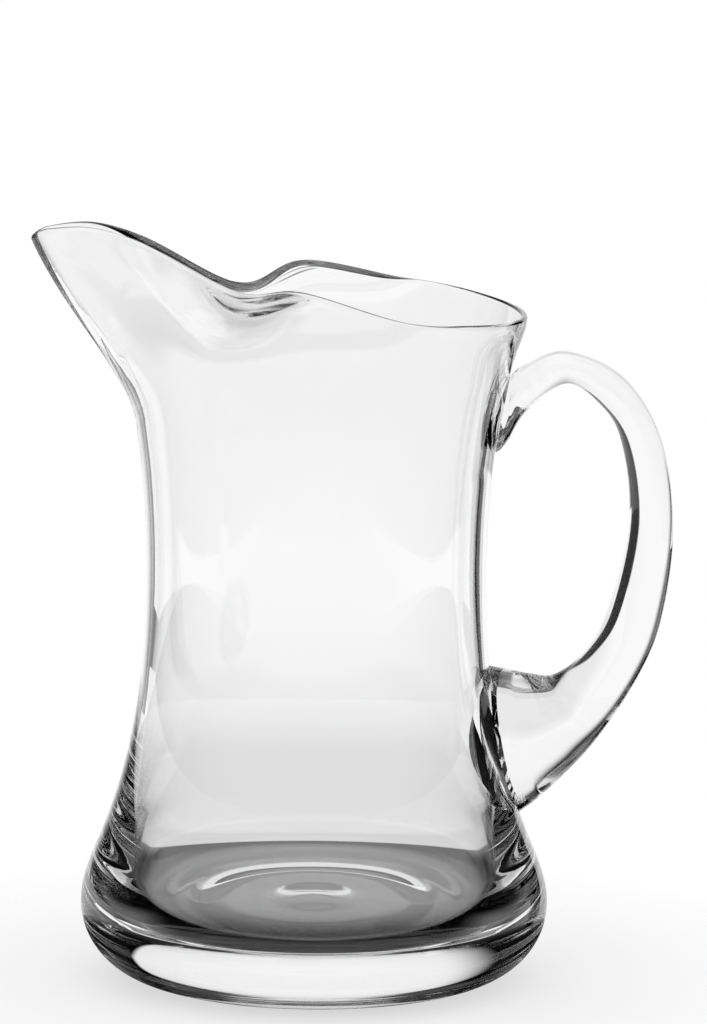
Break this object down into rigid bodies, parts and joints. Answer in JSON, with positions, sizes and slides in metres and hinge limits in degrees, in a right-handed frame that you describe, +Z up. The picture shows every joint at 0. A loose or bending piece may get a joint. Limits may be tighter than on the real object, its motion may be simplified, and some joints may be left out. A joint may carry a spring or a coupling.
{
  "type": "glass beer pitcher",
  "caption": "Clear blown glass beer pitcher with a waisted body, a heavy rounded base, a pinched pouring lip and a solid glass loop handle, for serving drinks.",
  "frame": {"origin": "centre of the flat underside of the base, on the body's axis, at table height", "axes": "+Z up along the body's axis; the handle stands out towards +X and the pouring lip points to -X; the pitcher is the same on both sides of the XZ plane"},
  "size_m": [0.2056, 0.1504, 0.2428],
  "materials": {
    "clear_glass": "polished",
    "handle_glass": "polished"
  },
  "bodies": {
    "root": {"body": "clear_glass", "handle": "handle_glass"}
  },
  "joints": []
}
